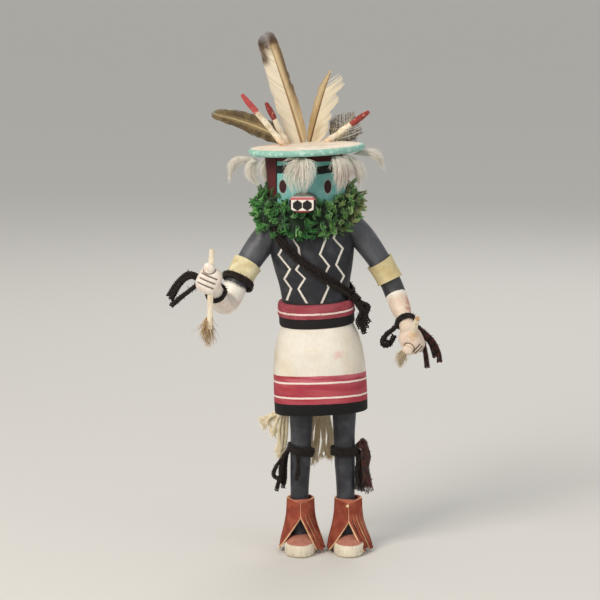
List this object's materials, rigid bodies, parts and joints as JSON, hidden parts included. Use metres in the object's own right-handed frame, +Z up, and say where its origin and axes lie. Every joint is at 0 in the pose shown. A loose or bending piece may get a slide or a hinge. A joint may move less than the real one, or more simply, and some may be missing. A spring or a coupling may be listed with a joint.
{
  "type": "kachina doll",
  "caption": "Carved and painted standing figure with a flat crown of feathers, a yarn ruff and fringed leather ankle wraps.",
  "frame": {"origin": "middle of the doll's bounding box in plan, on the ground under the soles", "axes": "+Z up along the figure, -Y the way the figure faces, +X towards the figure's left hand"},
  "size_m": [0.158, 0.0834, 0.3015],
  "materials": {
    "painted_wood": "matt paint on carved cottonwood root",
    "snout_paint": "matt paint on wood",
    "disc_paint": "matt paint on wood, chalky",
    "whittled_stick": "chalk white paint, red ends",
    "pale_feather": "feather, cream with a tan edge",
    "brown_feather": "feather, olive brown and speckled",
    "down": "loose white down",
    "feather_tuft": "feather tuft, tan and cream",
    "green_yarn": "wool yarn, cut ends",
    "black_yarn": "wool yarn",
    "armband_leather": "pale buff leather, smooth",
    "wrap_leather": "terracotta suede with raw edges",
    "cotton_cord": "twisted cotton string"
  },
  "bodies": {
    "root": {"ankle_wrap_left": "wrap_leather", "ankle_wrap_right": "wrap_leather", "arm_left": "painted_wood", "arm_right": "painted_wood", "armband_left": "armband_leather", "armband_right": "armband_leather", "bandolier": "black_yarn", "body": "painted_wood", "crown_disc": "disc_paint", "crown_stick_inner": "whittled_stick", "crown_stick_left": "whittled_stick", "crown_stick_outer": "whittled_stick", "down_back": "down", "down_back_left": "down", "down_back_right": "down", "down_front": "down", "down_left": "down", "down_left_front": "down", "down_left_outer": "down", "down_right": "down", "down_right_outer": "down", "feather_broken": "pale_feather", "feather_brown": "brown_feather", "feather_speckled": "brown_feather", "feather_tall": "pale_feather", "garter_left": "black_yarn", "garter_right": "black_yarn", "hand_stick_left": "whittled_stick", "hand_stick_right": "whittled_stick", "rain_sash_back": "cotton_cord", "rain_sash_side": "cotton_cord", "ruff": "green_yarn", "snout": "snout_paint", "stick_feather_left": "feather_tuft", "stick_feather_right": "feather_tuft", "wrist_yarn_left": "black_yarn", "wrist_yarn_right": "black_yarn"}
  },
  "joints": []
}
